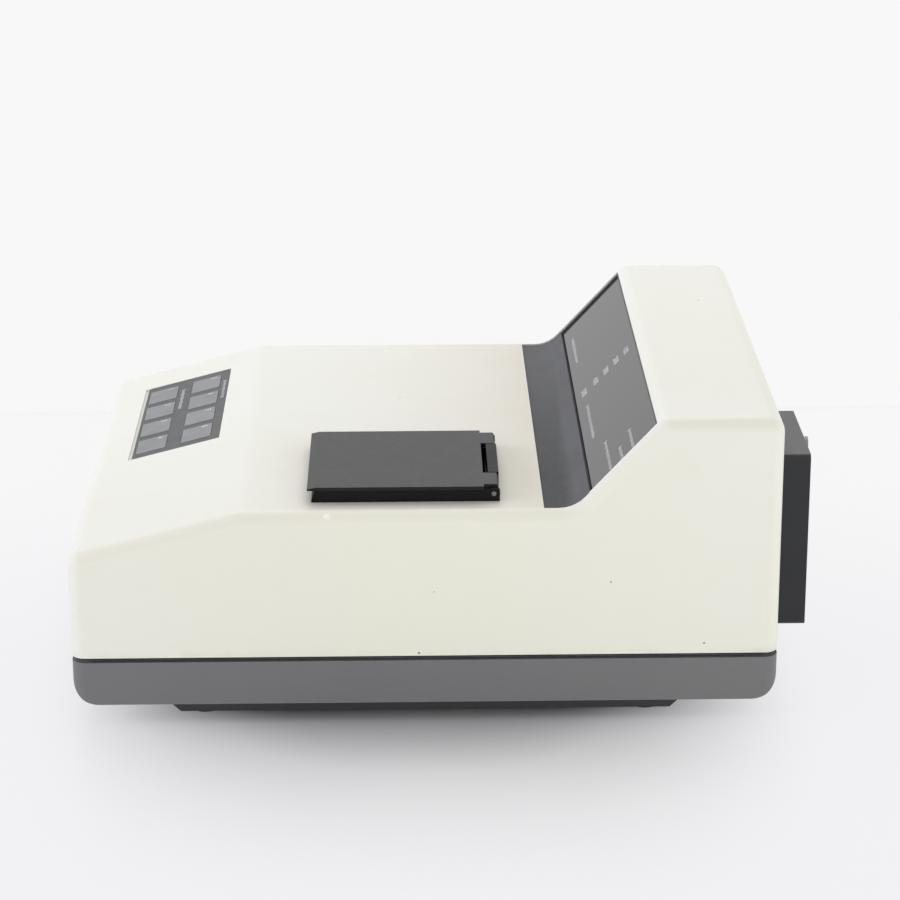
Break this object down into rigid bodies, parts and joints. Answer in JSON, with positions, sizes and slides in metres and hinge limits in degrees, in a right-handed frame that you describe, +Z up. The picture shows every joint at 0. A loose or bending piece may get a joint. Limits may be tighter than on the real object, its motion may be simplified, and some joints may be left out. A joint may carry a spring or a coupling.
{
  "type": "visible spectrophotometer",
  "caption": "Bench spectrophotometer with a stepped cream case on a grey base, a hinged black sample lid, a sloping keypad, a recessed display and a rear lamp cover.",
  "frame": {"origin": "bottom centre of the overall box, on the surface that the feet stand on", "axes": "+X to the user's right, +Y from the front to the rear, +Z up"},
  "size_m": [0.283, 0.3684, 0.157],
  "materials": {
    "case_cream": "fine moulded texture, satin",
    "base_grey": "moulded, satin",
    "foot_rubber": "matt",
    "bezel_grey": "coarse moulded texture",
    "window_smoke": "polished, smoked",
    "keypad_film": "printed polyester film",
    "key_film": "embossed film",
    "lid_black": "moulded, satin",
    "pad_foam": "open foam",
    "bright_steel": "plated",
    "cover_black": "powder coat, satin",
    "anodised_black": "black anodised",
    "sheet_metal": "mill",
    "casting": "cast, painted",
    "ceramic": "glazed ceramic",
    "clear_glass": "polished",
    "filter_glass": "polished",
    "mirror_face": "front coated",
    "gear_brass": "machined",
    "motor_steel": "plated",
    "board_green": "solder mask",
    "chip_black": "moulded",
    "led_red": "moulded",
    "ribbon_grey": "extruded",
    "core_iron": "varnished laminations",
    "coil_tape": "taped winding",
    "socket_black": "moulded",
    "socket_steel": "plated"
  },
  "bodies": {
    "instrument": {"base_tray": "base_grey", "rubber_feet": "foot_rubber", "optical_bench": "sheet_metal", "case_cover": "case_cream", "case_screws": "bright_steel", "keypad_overlay": "keypad_film", "key_domes": "bright_steel", "keypad_board": "board_green", "ribbon_cables": "ribbon_grey", "display_bezel": "bezel_grey", "display_window": "window_smoke", "display_board": "board_green", "led_digits": "led_red", "compartment_collar": "lid_black", "hinge_pin": "bright_steel", "sample_well": "lid_black", "cuvette_holder": "anodised_black", "cuvette_spring": "bright_steel", "lamp_cover": "cover_black", "lamp_cover_screw": "bright_steel", "lamp_bracket": "sheet_metal", "lamp_socket": "ceramic", "lamp_bulb": "clear_glass", "condenser_lens": "clear_glass", "filter_motor": "motor_steel", "monochromator_body": "casting", "monochromator_cover": "casting", "slit_plates": "anodised_black", "mirrors": "mirror_face", "shaft_bushes": "gear_brass", "wavelength_motor": "motor_steel", "detector_block": "anodised_black", "photodiode": "motor_steel", "detector_board": "board_green", "main_board": "board_green", "board_parts": "chip_black", "board_spacers": "bright_steel", "transformer_core": "core_iron", "transformer_coil": "coil_tape", "mains_inlet": "socket_black", "power_switch": "socket_black", "serial_socket": "socket_steel"},
    "key_1": {"key_1": "key_film"},
    "key_2": {"key_2": "key_film"},
    "key_3": {"key_3": "key_film"},
    "key_4": {"key_4": "key_film"},
    "key_5": {"key_5": "key_film"},
    "key_6": {"key_6": "key_film"},
    "key_7": {"key_7": "key_film"},
    "key_8": {"key_8": "key_film"},
    "lid": {"sample_lid": "lid_black", "lid_pad": "pad_foam"},
    "rocker": {"power_rocker": "socket_black"},
    "grating_table": {"grating_carrier": "sheet_metal", "diffraction_grating": "mirror_face", "sector_gear": "gear_brass"},
    "drive_pinion": {"motor_pinion": "gear_brass"},
    "filter_disc": {"filter_wheel": "anodised_black", "filter_glasses": "filter_glass"}
  },
  "joints": [
    {"name": "lid_hinge", "type": "hinge", "parent": "instrument", "child": "lid", "pos_m": [0.0845, 0.02506, 0.1145], "axis": [-1, 0, 0], "range_deg": [0, 105]},
    {"name": "key_1_press", "type": "slide", "parent": "instrument", "child": "key_1", "axis": [0, 0.2517, -0.9678], "range_m": [0, 0.0004], "stiffness_N_per_m": 2500},
    {"name": "key_2_press", "type": "slide", "parent": "instrument", "child": "key_2", "axis": [0, 0.2517, -0.9678], "range_m": [0, 0.0004], "stiffness_N_per_m": 2500},
    {"name": "key_3_press", "type": "slide", "parent": "instrument", "child": "key_3", "axis": [0, 0.2517, -0.9678], "range_m": [0, 0.0004], "stiffness_N_per_m": 2500},
    {"name": "key_4_press", "type": "slide", "parent": "instrument", "child": "key_4", "axis": [0, 0.2517, -0.9678], "range_m": [0, 0.0004], "stiffness_N_per_m": 2500},
    {"name": "key_5_press", "type": "slide", "parent": "instrument", "child": "key_5", "axis": [0, 0.2517, -0.9678], "range_m": [0, 0.0004], "stiffness_N_per_m": 2500},
    {"name": "key_6_press", "type": "slide", "parent": "instrument", "child": "key_6", "axis": [0, 0.2517, -0.9678], "range_m": [0, 0.0004], "stiffness_N_per_m": 2500},
    {"name": "key_7_press", "type": "slide", "parent": "instrument", "child": "key_7", "axis": [0, 0.2517, -0.9678], "range_m": [0, 0.0004], "stiffness_N_per_m": 2500},
    {"name": "key_8_press", "type": "slide", "parent": "instrument", "child": "key_8", "axis": [0, 0.2517, -0.9678], "range_m": [0, 0.0004], "stiffness_N_per_m": 2500},
    {"name": "power_rocker_tilt", "type": "hinge", "parent": "instrument", "child": "rocker", "pos_m": [-0.05, 0.16275, 0.066], "axis": [-1, 0, 0], "range_deg": [0, 14]},
    {"name": "grating_turn", "type": "hinge", "parent": "instrument", "child": "grating_table", "pos_m": [-0.0065, 0.06845, 0.069], "axis": [0, 0, 1], "range_deg": [-11, 11]},
    {"name": "pinion_turn", "type": "hinge", "parent": "instrument", "child": "drive_pinion", "pos_m": [-0.057, 0.06845, 0.069], "axis": [0, 0, 1], "range_deg": [-66, 66]},
    {"name": "filter_turn", "type": "hinge", "parent": "instrument", "child": "filter_disc", "pos_m": [0.0685, 0.12225, 0.069], "axis": [0, 1, 0], "continuous": true}
  ],
  "couplings": [
    {"joint": "pinion_turn", "follows": "grating_turn", "ratio": -6}
  ]
}
